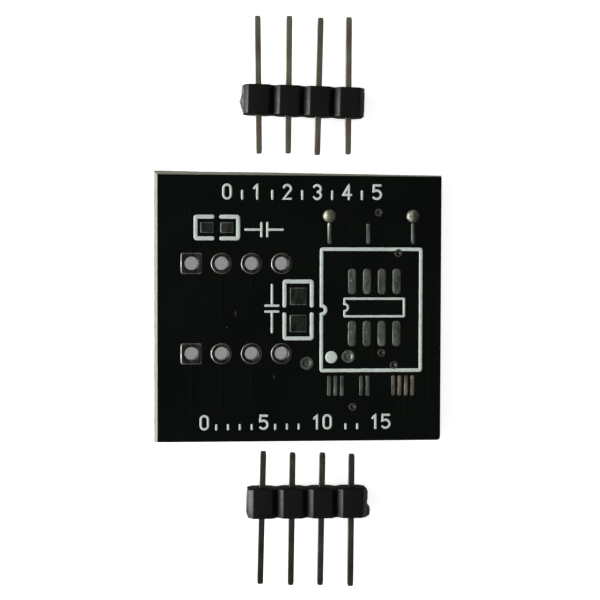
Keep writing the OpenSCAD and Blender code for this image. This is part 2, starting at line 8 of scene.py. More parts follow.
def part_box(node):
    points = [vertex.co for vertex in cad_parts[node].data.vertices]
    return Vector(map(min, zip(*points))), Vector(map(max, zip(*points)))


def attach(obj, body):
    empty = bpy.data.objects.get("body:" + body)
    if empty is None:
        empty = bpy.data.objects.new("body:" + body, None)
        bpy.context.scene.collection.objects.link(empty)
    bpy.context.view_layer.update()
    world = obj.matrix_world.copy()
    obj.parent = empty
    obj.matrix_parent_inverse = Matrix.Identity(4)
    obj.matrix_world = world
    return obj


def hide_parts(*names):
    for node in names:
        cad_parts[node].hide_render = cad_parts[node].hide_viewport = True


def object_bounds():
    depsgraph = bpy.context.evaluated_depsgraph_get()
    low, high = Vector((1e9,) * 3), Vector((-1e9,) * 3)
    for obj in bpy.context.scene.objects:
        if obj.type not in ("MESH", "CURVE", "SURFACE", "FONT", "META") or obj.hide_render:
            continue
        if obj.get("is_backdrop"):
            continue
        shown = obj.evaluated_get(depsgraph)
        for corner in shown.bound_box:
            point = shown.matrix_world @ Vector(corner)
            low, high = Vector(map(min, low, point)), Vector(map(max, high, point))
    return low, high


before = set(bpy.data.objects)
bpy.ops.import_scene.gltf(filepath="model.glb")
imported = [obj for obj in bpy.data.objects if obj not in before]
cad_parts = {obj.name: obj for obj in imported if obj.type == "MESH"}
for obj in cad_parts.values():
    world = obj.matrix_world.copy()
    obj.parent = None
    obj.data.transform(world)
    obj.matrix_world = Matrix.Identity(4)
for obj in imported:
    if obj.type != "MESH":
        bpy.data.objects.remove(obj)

cad_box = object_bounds()


# The board's core: woven glass cloth pressed with epoxy, pale cream where it is bare.
# It was scored on both faces along its left and upper edges and snapped out of a larger panel,
# and a cutter left its other two edges and its drilled holes clean.
MM = 0.001
WELD = 1e-7
CORE_LOW, CORE_HIGH = [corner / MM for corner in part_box("laminate")]
BOARD_T = 1.6
MASK_T = 0.06
CORE_TOP = BOARD_T - MASK_T
BEVEL = 0.3
SCORE_DEPTH = 0.45
LEFT_LEDGE = 0.02
UPPER_LEDGE = 0.05
SCORE_FALL = math.tan(math.radians(0.18))
SNAP_FALL = math.tan(math.radians(0.72))
CUT_CORNER = 0.3
CORNER_STEPS = 6
EDGE_STEP = 0.16
CRUMBLE = 0.03
CRUMBLE_RUN = 0.8
SCORED_ROUGHNESS = 0.25
CORE_LEVELS = [MASK_T, 0.12, 0.2, 0.3, 0.4, 0.45, 0.52, 0.62, 0.72, 0.82, 0.92, 1.02, 1.1, 1.15, 1.2, 1.3,
               1.4, 1.48, CORE_TOP]


def opened(mesh):
    """A mesh opened for editing, with the points that lie together made one."""
    form = bmesh.new()
    form.from_mesh(mesh)
    bmesh.ops.remove_doubles(form, verts=form.verts, dist=WELD)
    return form


def written(form, mesh):
    """Writes an edited mesh back with its faces turned outwards."""
    bmesh.ops.recalc_face_normals(form, faces=form.faces)
    form.to_mesh(mesh)
    form.free()


def make_piece(name, points, faces, crease=35):
    """A piece from points in millimetres. Edges sharper than crease degrees stay sharp."""
    mesh = bpy.data.meshes.new(name)
    mesh.from_pydata([[c * MM for c in p] for p in points], [], faces)
    form = opened(mesh)
    bmesh.ops.dissolve_degenerate(form, edges=form.edges, dist=WELD)
    written(form, mesh)
    piece = bpy.data.objects.new(name, mesh)
    bpy.context.collection.objects.link(piece)
    smooth(piece, crease)
    return piece


def smooth(piece, crease):
    """Shades a piece smooth, apart from the edges sharper than crease degrees."""
    for face in piece.data.polygons:
        face.use_smooth = True
    piece.data.set_sharp_from_angle(angle=math.radians(crease))


def stack(rings, low_cap=True, high_cap=True, start=0):
    """Joins rings that have equal numbers of points. Returns the points and the faces."""
    count = len(rings[0])
    points = [p for ring in rings for p in ring]
    faces = []
    for r in range(len(rings) - 1):
        for k in range(count):
            a = start + r * count + k
            b = start + r * count + (k + 1) % count
            faces.append((a, b, b + count, a + count))
    if low_cap:
        faces.append(tuple(start + k for k in range(count))[::-1])
    if high_cap:
        faces.append(tuple(start + (len(rings) - 1) * count + k for k in range(count)))
    return points, faces


def add_to(points, faces, rings, low_cap=True, high_cap=True):
    """Adds one more stack of rings to a piece's points and faces."""
    more_points, more_faces = stack(rings, low_cap, high_cap, start=len(points))
    points += more_points
    faces += more_faces


def rounded(cx, cy, half_x, half_y, corner, steps=8):
    """Points round a rectangle with rounded corners. It is a slot where corner is half its width."""
    corner = max(min(corner, half_x, half_y), 1e-4)
    points = []
    for turn, (sx, sy) in enumerate(((1, 1), (-1, 1), (-1, -1), (1, -1))):
        for k in range(steps + 1):
            a = math.radians(90 * (turn + k / steps))
            points.append((cx + sx * (half_x - corner) + corner * math.cos(a),
                           cy + sy * (half_y - corner) + corner * math.sin(a)))
    return points


def at_height(outline, z):
    return [(x, y, z) for x, y in outline]


def combine(piece, cutter, operation="DIFFERENCE"):
    """Cuts cutter out of piece, or keeps what they share, and clears cutter away."""
    cut = piece.modifiers.new("cut", "BOOLEAN")
    cut.operation = operation
    cut.object = cutter
    cut.solver = "EXACT"
    shaped = piece.evaluated_get(bpy.context.evaluated_depsgraph_get())
    mesh = bpy.data.meshes.new_from_object(shaped)
    piece.modifiers.clear()
    piece.data = mesh
    bpy.data.objects.remove(cutter)


def loose_boxes(node):
    """The lowest and highest corner of each loose part of a CAD node, in millimetres."""
    form = opened(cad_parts[node].data)
    left = set(form.verts)
    boxes = []
    while left:
        part, front = set(), [left.pop()]
        while front:
            vert = front.pop()
            part.add(vert)
            for edge in vert.link_edges:
                other = edge.other_vert(vert)
                if other in left:
                    left.discard(other)
                    front.append(other)
        low = Vector([min(v.co[i] for v in part) for i in range(3)]) / MM
        high = Vector([max(v.co[i] for v in part) for i in range(3)]) / MM
        boxes.append((low, high))
    form.free()
    return sorted(boxes, key=lambda box: (round(box[0].x, 2), round(box[0].y, 2)))


def spread(low, high, step):
    """Even places from low up to, but without, high, about one step apart."""
    count = max(1, round(abs(high - low) / step))
    return [low + (high - low) * k / count for k in range(count)]


def upper_edge(x, in_score):
    """Where the board ends at one x. The snapped line and the score above it don't run parallel."""
    along = x - CORE_LOW.x
    snapped = CORE_HIGH.y - along * SNAP_FALL
    if in_score == 0:
        return snapped
    return min(snapped, CORE_HIGH.y - UPPER_LEDGE - along * SCORE_FALL - BEVEL * in_score)


def core_ring(z):
    """One level of the core's edge, with the scored bevels and the rough snapped web between them."""
    depth = min(z, BOARD_T - z)
    in_score = max(0, 1 - depth / SCORE_DEPTH)
    cut_left = CORE_LOW.x + (LEFT_LEDGE + BEVEL * in_score if in_score > 0 else 0)
    rough = 1 if in_score == 0 else SCORED_ROUGHNESS
    points = []
    for x in spread(CORE_LOW.x, CORE_HIGH.x - CUT_CORNER, EDGE_STEP):
        points.append((max(x, cut_left), CORE_LOW.y, z))
    for k in range(CORNER_STEPS + 1):
        a = math.radians(-90 + 90 * k / CORNER_STEPS)
        points.append((CORE_HIGH.x - CUT_CORNER * (1 - math.cos(a)),
                       CORE_LOW.y + CUT_CORNER * (1 + math.sin(a)), z))
    upper_right = upper_edge(CORE_HIGH.x, in_score)
    for y in spread(CORE_LOW.y + CUT_CORNER, CORE_HIGH.y - BEVEL, EDGE_STEP)[1:]:
        points.append((CORE_HIGH.x, min(y, upper_right), z))
    for x in spread(CORE_HIGH.x, CORE_LOW.x, EDGE_STEP):
        inset = break_away(x, z, 3.7) * rough * min(1, (CORE_HIGH.x - x) / CRUMBLE_RUN)
        points.append((max(x, cut_left), upper_edge(x, in_score) - inset, z))
    upper_left = upper_edge(CORE_LOW.x, in_score)
    for y in spread(CORE_HIGH.y, CORE_LOW.y, EDGE_STEP):
        inset = break_away(y, z, 9.1) * rough * min(1, (y - CORE_LOW.y) / CRUMBLE_RUN)
        points.append((cut_left + inset, min(y, upper_left), z))
    return points


def break_away(along, z, seed):
    """How far a snapped edge has crumbled back at one place: tufts of glass and small chips."""
    tufts = noise.noise(Vector((along * 3.1, z * 5, seed)))
    chips = noise.noise(Vector((along * 0.9, z * 1.5, seed + 20)))
    return CRUMBLE + CRUMBLE * tufts + CRUMBLE * chips


core_points, core_faces = stack([core_ring(z) for z in CORE_LEVELS])
core = make_piece("glass_epoxy_core", core_points, core_faces, 50)

WALL = 0.06
HEADER_NODES = ["hole_plating_%d" % k for k in range(1, 9)]
WIDE_BORE, SMALL_BORE = 0.25, 0.15
VIA_BORES = {"%s_via_%d" % (kind, k): WIDE_BORE for kind in ("anchor", "medium") for k in (1, 2)}
VIA_BORES.update({"small_via_%d" % k: SMALL_BORE for k in range(1, 6)})
HEADER_BORE = 0.57
DRILL_ENDS = (-1, 3)
drill_points, drill_faces = [], []
for node in HEADER_NODES + sorted(VIA_BORES):
    low, high = [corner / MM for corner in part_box(node)]
    middle = (low + high) / 2
    bore = VIA_BORES.get(node, HEADER_BORE) + WALL
    disc = rounded(middle.x, middle.y, bore, bore, bore)
    add_to(drill_points, drill_faces, [at_height(disc, z) for z in DRILL_ENDS])
combine(core, make_piece("drills", drill_points, drill_faces))
smooth(core, 50)
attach(core, "root")
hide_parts("laminate")


def new_finish(name, **values):
    """A material whose constant values sit on its shader. Returns it with its nodes and links."""
    material = bpy.data.materials.new(name)
    material.use_nodes = True
    tree = material.node_tree
    shader = tree.nodes["Principled BSDF"]
    for key, value in values.items():
        shader.inputs[key.replace("_", " ")].default_value = value
    return material, tree, shader


def add_node(tree, kind, links=(), **values):
    """A node with its values set by name, and its inputs linked from other nodes' outputs."""
    node = tree.nodes.new("ShaderNode" + kind)
    for key, value in values.items():
        if key in node.inputs:
            node.inputs[key].default_value = value
        else:
            setattr(node, key, value)
    for socket, source in links:
        tree.links.new(source, node.inputs[socket])
    return node


def grain(tree, scale, stretch=(1, 1, 1), detail=3.0, roughness=0.55):
    """Noise in the frame's own millimetres, so that its scale is the real one."""
    place = add_node(tree, "TexCoord")
    size = add_node(tree, "Mapping", [("Vector", place.outputs["Object"])],
                    Scale=[s / MM for s in stretch])
    return add_node(tree, "TexNoise", [("Vector", size.outputs["Vector"])],
                    Scale=scale, Detail=detail, Roughness=roughness).outputs["Fac"]


def tint(tree, source, stops):
    """Colours picked by a value from 0 to 1. A stop is a place and a colour."""
    ramp = add_node(tree, "ValToRGB", [("Fac", source)])
    band = ramp.color_ramp
    band.elements[0].position, band.elements[0].color = stops[0][0], (*stops[0][1], 1)
    band.elements[1].position, band.elements[1].color = stops[-1][0], (*stops[-1][1], 1)
    for place, colour in stops[1:-1]:
        band.elements.new(place).color = (*colour, 1)
    return ramp.outputs["Color"]


def coloured(tree, shader, source, stops):
    """Lets a value pick the colour."""
    tree.links.new(tint(tree, source, stops), shader.inputs["Base Color"])


def brought(tree, source, came, goes, **values):
    """A value brought from the range that it came in to the one where it goes."""
    limits = {"From Min": came[0], "From Max": came[1], "To Min": goes[0], "To Max": goes[1]}
    return add_node(tree, "MapRange", [("Value", source)], **values, **limits).outputs["Result"]


def roughened(tree, shader, source, low, high):
    """Lets a value move the roughness from low to high."""
    tree.links.new(brought(tree, source, (0.25, 0.75), (low, high)), shader.inputs["Roughness"])


def raised(tree, shader, source, height, strength=1.0):
    """Fine relief, with its height in millimetres."""
    bump = add_node(tree, "Bump", [("Height", source)], Strength=strength, Distance=height * MM)
    tree.links.new(bump.outputs["Normal"], shader.inputs["Normal"])


def coat(piece, finish):
    """Gives a piece one finish in place of any that it had."""
    piece.data.materials.clear()
    piece.data.materials.append(finish)


glass_epoxy, tree, shader = new_finish("glass_epoxy_cream", Roughness=0.62, IOR=1.5)
cloth = grain(tree, 1.6, (1, 1, 9), 4)
tufts = grain(tree, 9, (1, 1, 2.5), 5)
creams = [(0.3, (0.16, 0.18, 0.12)), (0.5, (0.21, 0.23, 0.165)), (0.72, (0.28, 0.305, 0.235))]
colours = tint(tree, cloth, creams)
fibre = tint(tree, tufts, [(0.35, (0.78, 0.78, 0.74)), (0.65, (1, 1, 1))])
blend = add_node(tree, "MixRGB", [("Color1", colours), ("Color2", fibre)], blend_type="MULTIPLY", Fac=1.0)
tree.links.new(blend.outputs["Color"], shader.inputs["Base Color"])
raised(tree, shader, tufts, 0.02, 0.7)
coat(core, glass_epoxy)


# The tracks: copper foil 0.035 mm thick, etched away between the lines and covered by the mask.
# They join the lands and the holes on both faces, and only their ridges show.
copper, tree, shader = new_finish("etched_copper", Metallic=1.0, Roughness=0.45)
patina = grain(tree, 3)
coloured(tree, shader, patina, [(0.3, (0.42, 0.22, 0.12)), (0.7, (0.62, 0.36, 0.22))])
for node in ("tracks_top", "tracks_bottom"):
    coat(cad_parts[node], copper)


# The mask: black lacquer flooded over both faces and cured, with openings round every land and hole.
# It sags between the tracks, so that each track stands up as a faint ridge.
MASK_TOP = BOARD_T
RIDGE = 0.010
RIDGE_SLOPE = 0.09
PAD_SLOPE = 0.004
FOOT_SINK = 0.004
RIDGE_BACK = 0.014
PAD_NEAR = 0.03
SHOULDER = ((0.08, 0.0008), (0.04, 0.0006), (0.02, -0.004), (-0.006, -0.012))
SQUARE_CORNER = 0.06
FULLY_ROUND = 9
SQUARE_PADS = ("hole_plating_1", "hole_plating_8")
LAND_NODES = [
    "narrow_lands_lower", "narrow_lands_upper", "wide_lands_left", "wide_lands_middle", "wide_lands_right",
    "anchor_land_left", "anchor_land_middle", "anchor_land_right", "small_capacitor_lands",
    "large_capacitor_lands"]
OPENING_NODES = HEADER_NODES + sorted(VIA_BORES) + LAND_NODES

mask, tree, shader = new_finish("black_mask", IOR=1.5, Specular_IOR_Level=0.1)
speckle = grain(tree, 7, detail=5)
pool = grain(tree, 0.25, detail=2)
coloured(tree, shader, pool, [(0.35, (0.0006, 0.0016, 0.0008)), (0.65, (0.0014, 0.0028, 0.0014))])
roughened(tree, shader, speckle, 0.30, 0.42)
raised(tree, shader, speckle, 0.004, 0.5)
for node in ("mask_top", "mask_bottom"):
    coat(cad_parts[node], mask)


def track_tops(node, up):
    """The faces on one side of the copper, and the loops of points round them."""
    form = opened(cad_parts[node].data)
    tops = [f for f in form.faces if f.normal.z * up > 0.9]
    keep = set(tops)
    points, number, faces = [], {}, []
    for face in tops:
        for vert in face.verts:
            if vert not in number:
                number[vert] = len(points)
                points.append(Vector((vert.co.x, vert.co.y)) / MM)
        faces.append([number[v] for v in face.verts])
    ways = {}
    for face in tops:
        for loop in face.loops:
            others = [f for f in loop.edge.link_faces if f is not face]
            if not any(f in keep for f in others):
                ways[number[loop.vert]] = number[loop.link_loop_next.vert]
    form.free()
    return points, faces, ways


def ridge_over(node, up, level):
    """The swelling of the mask over one face's tracks. It stops where a track meets an opening."""
    points, faces, ways = track_tops(node, up)
    openings = []
    for opening in OPENING_NODES:
        for low, high in loose_boxes(opening):
            openings.append((low.x - PAD_NEAR, low.y - PAD_NEAR, high.x + PAD_NEAR, high.y + PAD_NEAR))
    before = {b: a for a, b in ways.items()}
    rise = RIDGE * up
    shape = at_height(points, level + rise)
    skin = list(faces)
    foot = {}
    for here, after in ways.items():
        came = before[here]
        one = (points[here] - points[came]).normalized()
        two = (points[after] - points[here]).normalized()
        side = one + two
        side = Vector((side.y, -side.x)).normalized() * up if side.length > 1e-6 else Vector((one.y, -one.x))
        foot[here] = [len(shape), len(shape) + 1]
        p = points[here]
        at_pad = any(box[0] < p.x < box[2] and box[1] < p.y < box[3] for box in openings)
        slope = PAD_SLOPE if at_pad else RIDGE_SLOPE
        half = p + side * slope * 0.5
        far = p + side * slope
        shape.append((half.x, half.y, level + rise * 0.45))
        shape.append((far.x, far.y, level - FOOT_SINK * up))
    for here, after in ways.items():
        a, b = foot[here]
        c, d = foot[after]
        skin.append((here, a, c, after))
        skin.append((a, b, d, c))
    return shape, skin


def close_under(piece, level):
    """Gives an open sheet a flat back at one level, so that it is a closed body."""
    form = opened(piece.data)
    grown = bmesh.ops.extrude_face_region(form, geom=form.faces[:], use_keep_orig=True)
    for vert in (g for g in grown["geom"] if isinstance(g, bmesh.types.BMVert)):
        vert.co.z = level * MM
    written(form, piece.data)


def shoulders(points, faces, up, level):
    """The mask's edge, where it rounds over and sags against each land and hole."""
    for opening in OPENING_NODES:
        for low, high in loose_boxes(opening):
            if (up > 0 and high.z < MASK_TOP - 0.01) or (up < 0 and low.z > 0.01):
                continue
            middle = (low + high) / 2
            half = (high - low) / 2
            square = opening in SQUARE_PADS or "capacitor" in opening
            rings = []
            for out, rise in SHOULDER:
                corner = SQUARE_CORNER + max(out, 0) if square else FULLY_ROUND
                ring = rounded(middle.x, middle.y, half.x + out, half.y + out, corner)
                rings.append(at_height(ring, level + rise * up))
            add_to(points, faces, rings, False, False)


for node, up, level, name in (("tracks_top", 1, MASK_TOP, "mask_ridges_top"),
                              ("tracks_bottom", -1, 0.0, "mask_ridges_bottom")):
    shape, skin = ridge_over(node, up, level)
    shoulders(shape, skin, up, level)
    ridges = make_piece(name, shape, skin, 60)
    close_under(ridges, level - RIDGE_BACK * up)
    smooth(ridges, 60)
    coat(ridges, mask)
    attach(ridges, "root")


# The plated holes for the pin strips: copper drawn through each drilled hole and onto both faces,
# then dipped in solder and blown level, which leaves a rounded collar. Two of them are square.
SIDES = 64
HEADER_PAD = 0.89
ROUND_POWER, SQUARE_POWER = 2, 16
# Between these shares of the way in from the rim, the collar's flat is painted shade.
PAINTED_SHADE_FROM, PAINTED_SHADE_TO = 0.26, 0.97


def solder_finish(name, dark, bright, rough_low, rough_high):
    """Solder with a frosted skin, and streaks that follow the way the hot air blew it level."""
    finish, tree, shader = new_finish(name, Metallic=1.0)
    frost = grain(tree, 6, (1, 0.3, 1), 6, 0.6)
    drift = grain(tree, 2.6, (1, 0.3, 1), 5, 0.65)
    coloured(tree, shader, drift, [(0.38, dark), (0.62, bright)])
    roughened(tree, shader, frost, rough_low, rough_high)
    raised(tree, shader, frost, 0.035, 1.0)
    return finish


# Copies of one solder in different tones, given out by place. The rim copy is a painted highlight on rims and
# shoulders.
# The near-black copy is painted shade, the dim copy is painted shade round each bead's foot and a duller tone
# on the small vias' collars, and the probe copy is both a probe mark and a painted highlight.
rim_solder = solder_finish("solder_rim", (0.15, 0.155, 0.14), (0.26, 0.27, 0.245), 0.26, 0.42)
solder = solder_finish("levelled_solder", (0.10, 0.115, 0.098), (0.26, 0.28, 0.25), 0.24, 0.44)
warm_solder = solder_finish("warm_solder", (0.13, 0.122, 0.10), (0.38, 0.345, 0.285), 0.22, 0.42)
probe_mark_and_highlight_solder = solder_finish("probe_mark_and_highlight_solder", (0.22, 0.23, 0.21), (0.36, 0.37, 0.34), 0.24, 0.38)
dim_solder = solder_finish("dim_solder", (0.07, 0.073, 0.066), (0.14, 0.145, 0.13), 0.3, 0.46)
painted_shade_solder = solder_finish("near_black_painted_shade", (0.018, 0.022, 0.019), (0.062, 0.068, 0.06), 0.34, 0.5)


def finish_rings(piece, finishes, pick):
    """Gives each face the finish that pick chooses from the face's middle, in millimetres."""
    piece.data.materials.clear()
    for finish in finishes:
        piece.data.materials.append(finish)
    for face in piece.data.polygons:
        face.material_index = pick(face.center / MM, face.normal)


def turns(count=SIDES):
    """Even angles round a full turn."""
    return [2 * math.pi * k / count for k in range(count)]


def reach(angle, size, power):
    """How far a pad's edge is from its middle: a circle for power 2, nearly square for a high one."""
    c, s = abs(math.cos(angle)), abs(math.sin(angle))
    return size / (c ** power + s ** power) ** (1 / power)


def collar_rings(x, y, size, power, bore, profile):
    """Rings from the pad's edge in to the bore. A profile step is a share of the way in, and a height."""
    rings = []
    for share, z in profile:
        ring = []
        for a in turns():
            r = reach(a, size, power)
            r += (bore - r) * share
            ring.append((x + r * math.cos(a), y + r * math.sin(a), z))
        rings.append(ring)
    return rings


COLLAR = [(0, CORE_TOP), (0, 1.613), (0.06, 1.627), (0.14, 1.642), (0.22, 1.650), (0.30, 1.652),
          (0.46, 1.653), (0.62, 1.651), (0.80, 1.642), (0.90, 1.625), (1, 1.580)]
for node in HEADER_NODES:
    low, high = [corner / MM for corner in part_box(node)]
    middle = (low + high) / 2
    power = SQUARE_POWER if node in SQUARE_PADS else ROUND_POWER
    down = [(share, BOARD_T - z) for share, z in COLLAR[::-1]]
    rings = collar_rings(middle.x, middle.y, HEADER_PAD, power, HEADER_BORE, COLLAR + down)
    outer = collar_rings(middle.x, middle.y, HEADER_BORE + WALL, ROUND_POWER, HEADER_BORE,
                         [(0, MASK_T), (0, CORE_TOP)])
    tube = stack(rings + outer, False, False)
    hole = make_piece(node.replace("hole_plating", "plated_hole"), *tube, crease=40)
    form = opened(hole.data)
    bmesh.ops.bridge_loops(form, edges=[e for e in form.edges if e.is_boundary])
    written(form, hole.data)
    smooth(hole, 40)

    def collar_finish(at, normal, middle=middle, power=power):
        """Brighter on the rim and down the bore, and painted shade on the flat of the collar between them."""
        dx, dy = at.x - middle.x, at.y - middle.y
        r = math.hypot(dx, dy)
        rim_r = reach(math.atan2(dy, dx), HEADER_PAD, power)
        share = (rim_r - r) / max(rim_r - HEADER_BORE, 0.01)
        return 1 if PAINTED_SHADE_FROM < share < PAINTED_SHADE_TO else 0

    # The near-black finish on the flat of each collar is painted shade.
    finish_rings(hole, [rim_solder, painted_shade_solder], collar_finish)
    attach(hole, "root")
    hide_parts(node)


# The vias: small plated holes that carry a track from one face to the other.
# Solder has run into them: the small ones are stopped deep down, and the two wider ones near the top.
VIA_LIP = [(0, 1.610), (0.1, 1.620), (0.3, 1.624), (0.65, 1.619), (0.88, 1.600), (1, 1.570)]
MENISCUS = [(1, 0.03), (0.9, 0.012), (0.7, 0.004), (0.4, 0), (0.05, 0)]
VIA_SEAT = 1.545
MEDIUM_PLUG, SMALL_PLUG, LOWER_PLUG = 1.545, 1.42, 1.3
PLUG_CLIMB = 0.13
MOUTH_FLARE = 0.04
LIP_W = 0.06


def via_face(middle, size, mouth, plug, lift):
    """Rings from the underside of one face's collar out round its rim, in over the lip and down to the plug.

    The solder ran in from one side, so the plug climbs the bore by lift there."""
    rings = collar_rings(middle.x, middle.y, size, ROUND_POWER, mouth, [(0, VIA_SEAT)] + VIA_LIP)
    for share, rise in MENISCUS:
        r = mouth * share
        ring = []
        for a in turns():
            climb = lift * max(0, math.cos(a + 0.3)) ** 2 * share ** 3
            ring.append((middle.x + r * math.cos(a), middle.y + r * math.sin(a), plug + rise + climb))
        rings.append(ring)
    return rings


for node in sorted(VIA_BORES):
    if node.startswith("anchor"):
        continue
    low, high = [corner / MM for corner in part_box(node)]
    middle = (low + high) / 2
    size = (high.x - low.x) / 2
    bore = VIA_BORES[node]
    wide = node.startswith("medium")
    mouth = bore + MOUTH_FLARE if wide else bore
    upper = via_face(middle, size, mouth, MEDIUM_PLUG if wide else SMALL_PLUG, 0 if wide else PLUG_CLIMB)
    under = via_face(middle, size, bore, LOWER_PLUG, 0)
    lower = [[(x, y, BOARD_T - z) for x, y, z in ring] for ring in under]
    shaft = collar_rings(middle.x, middle.y, bore + WALL, ROUND_POWER, bore,
                         [(0, BOARD_T - VIA_SEAT), (0, VIA_SEAT)])
    via = make_piece(node.replace("via", "solder_via"), *stack(lower[::-1] + shaft + upper), crease=40)

    def via_finish(at, normal, middle=middle, mouth=mouth, wide=wide):
        """Dim on a small collar, painted shade on the lip and in a small bore, brighter on a wide plug, and a
        painted highlight on the lit side of a small bore.
        """
        r = math.hypot(at.x - middle.x, at.y - middle.y)
        if r > mouth + LIP_W:
            return 0 if wide else 2
        # The lip and the shaded side of a small bore take the near-black painted shade, and the side that
        # faces the light takes a painted highlight.
        if r > mouth:
            return 1
        lit = at.x - middle.x > 0.3 * mouth and r > 0.45 * mouth and at.z > 1
        return 0 if wide else (3 if lit else 1)

    finish_rings(via, [solder, painted_shade_solder, dim_solder, probe_mark_and_highlight_solder], via_finish)
    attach(via, "root")
    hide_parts(node)


# The two anchor vias hold the wide chip's outer lands down. Each is filled and stands up in a bead.
bead_solder, tree, shader = new_finish("beaded_solder", Metallic=1.0)
frost = grain(tree, 6, detail=6, roughness=0.65)
drift = grain(tree, 1.4, detail=3)
coloured(tree, shader, drift, [(0.36, (0.12, 0.118, 0.09)), (0.64, (0.34, 0.33, 0.265))])
roughened(tree, shader, frost, 0.24, 0.46)
raised(tree, shader, frost, 0.07, 1.0)
BEAD_SHARES = (0.03, 0.15, 0.3, 0.45, 0.6, 0.75, 0.88, 0.96, 1)
BEAD_RISE, LOWER_RISE = 0.2, 0.04
# Past this share of the radius, the bead's foot is painted shade.
BEAD_SHADE_FROM = 0.9
DENT = 0.03
for node in ("anchor_via_1", "anchor_via_2"):
    low, high = [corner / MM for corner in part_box(node)]
    middle = (low + high) / 2
    size = (high.x - low.x) / 2
    rings = []
    for face, base, rise in ((-1, 0.0, LOWER_RISE), (1, MASK_TOP, BEAD_RISE)):
        steps = [(share, base + face * rise * (1 - share * share)) for share in BEAD_SHARES]
        if face > 0:
            steps = steps[::-1]
        for share, z in steps:
            ring = []
            for a in turns():
                spot = Vector((middle.x + share * math.cos(a) * 1.5, share * math.sin(a) * 1.5, face))
                dent = DENT * noise.noise(spot) * (1 - share)
                r = size * share
                ring.append((middle.x + r * math.cos(a), middle.y + r * math.sin(a), z + face * dent))
            rings.append(ring)
    bead = make_piece(node.replace("via", "bead"), *stack(rings), crease=50)

    def bead_finish(at, normal, middle=middle, size=size):
        """Painted shade: dim in a narrow band round the foot of the bead."""
        return 1 if math.hypot(at.x - middle.x, at.y - middle.y) > size * BEAD_SHADE_FROM else 0

    finish_rings(bead, [bead_solder, dim_solder], bead_finish)
    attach(bead, "root")
    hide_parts(node)


# The lands of both chips and both capacitors: copper with a levelled coat of solder,
# which is drawn into a low crown and slopes away to a rounded rim.
CROWN_LOW = 1.612
CROWN = [(0, CROWN_LOW), (0.025, 1.623), (0.06, 1.636), (0.1, 1.646), (0.15, 1.653), (0.2, 1.656),
         (0.28, 1.658)]
FULL_CROWN = 0.3
CAPACITOR_CORNER = 0.08
NECKED = ("anchor_land_left", "anchor_land_right")
NECK_L = 0.8
NECK_RISE = 0.09
SWELL = 0.008
# Bands in from a land's edge: painted shade at the foot, and a brighter shoulder as a painted highlight.
RIM_LOW, RIM_HIGH = 0.03, 0.085
NARROW_LAND, NARROW_RIM = 0.5, 0.012
PROBED = ("narrow_lands_lower", "narrow_lands_upper")
PROBE_X, PROBE_Y = -0.03, 0.1
PROBE_DOT = ((0.07, -0.01), (0.055, 0.008), (0.03, 0.014), (0.008, 0.016))
PROBE_R = 0.075
WARM = ("wide_lands_right",)
for node in LAND_NODES:
    square = node.endswith("capacitor_lands")
    points, faces, dots = [], [], []
    for low, high in loose_boxes(node):
        middle = (low + high) / 2
        half = (high - low) / 2
        thin = min(half.x, half.y)
        corner = min(CAPACITOR_CORNER, thin) if square else thin
        flat = min(1, thin / FULL_CROWN)
        rings = [at_height(rounded(middle.x, middle.y, half.x, half.y, corner), CORE_TOP)]
        for inset, z in CROWN:
            inset *= flat
            z = CROWN_LOW + (z - CROWN_LOW) * flat
            if inset < thin * 0.95:
                outline = rounded(middle.x, middle.y, half.x - inset, half.y - inset, corner - inset)
                ring = []
                for x, y in outline:
                    swell = noise.noise(Vector((x * 2.2, y * 2.2, 5))) * SWELL * min(1, inset / 0.05)
                    if node in NECKED:
                        near = max(0, min(1, (y - high.y + NECK_L) / NECK_L))
                        swell += NECK_RISE * near * near * min(1, inset / 0.14)
                    ring.append((x, y, z + swell))
                rings.append(ring)
        add_to(points, faces, rings)
        if node in PROBED:
            px, py = middle.x + PROBE_X, middle.y + PROBE_Y
            top = rings[-1][0][2]
            dot = [at_height(rounded(px, py, r, r, r, 3), top + rise) for r, rise in PROBE_DOT]
            add_to(points, faces, dot)
            dots.append((px, py))
    land = make_piece(node.replace("lands", "crowns").replace("land", "crown"), points, faces, 50)
    boxes = loose_boxes(node)
    # Painted shade: the near-black copy on every rim's foot and on the capacitors' flats. Painted highlight:
    # the rim copy round the other lands' shoulders.
    flat_finish = painted_shade_solder if square else warm_solder if node in WARM else solder
    rim_finish = solder if square else rim_solder
    narrow = min(boxes[0][1].x - boxes[0][0].x, boxes[0][1].y - boxes[0][0].y) < NARROW_LAND

    def land_finish(at, normal, boxes=boxes, narrow=narrow, dots=dots):
        """Painted shade at the rim's foot, a painted highlight round its shoulder, streaked on the flat,
        bright where probed.
        """
        if any(math.hypot(at.x - x, at.y - y) < PROBE_R for x, y in dots):
            return 3
        for low, high in boxes:
            if low.x - 0.01 < at.x < high.x + 0.01 and low.y - 0.01 < at.y < high.y + 0.01:
                inside = min(at.x - low.x, high.x - at.x, at.y - low.y, high.y - at.y)
                if inside < (NARROW_RIM if narrow else RIM_LOW):
                    return 2
                return 1 if inside < RIM_HIGH and not narrow else 0
        return 0

    finish_rings(land, [flat_finish, rim_finish, painted_shade_solder, probe_mark_and_highlight_solder], land_finish)
    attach(land, "root")
    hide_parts(node)


# The print: white ink pressed through a mesh stencil, so its lines are thin beads with soft edges.
# It outlines both chips and both capacitors and marks the first lead.
INK_LOW = MASK_TOP - 0.003
INK_T = 0.026
INK_EDGE = ((-1, 0), (-0.93, 0.55), (-0.7, 0.9), (0, 1), (0.7, 0.9), (0.93, 0.55), (1, 0))
END_TURNS = (80, 62, 40, 20)

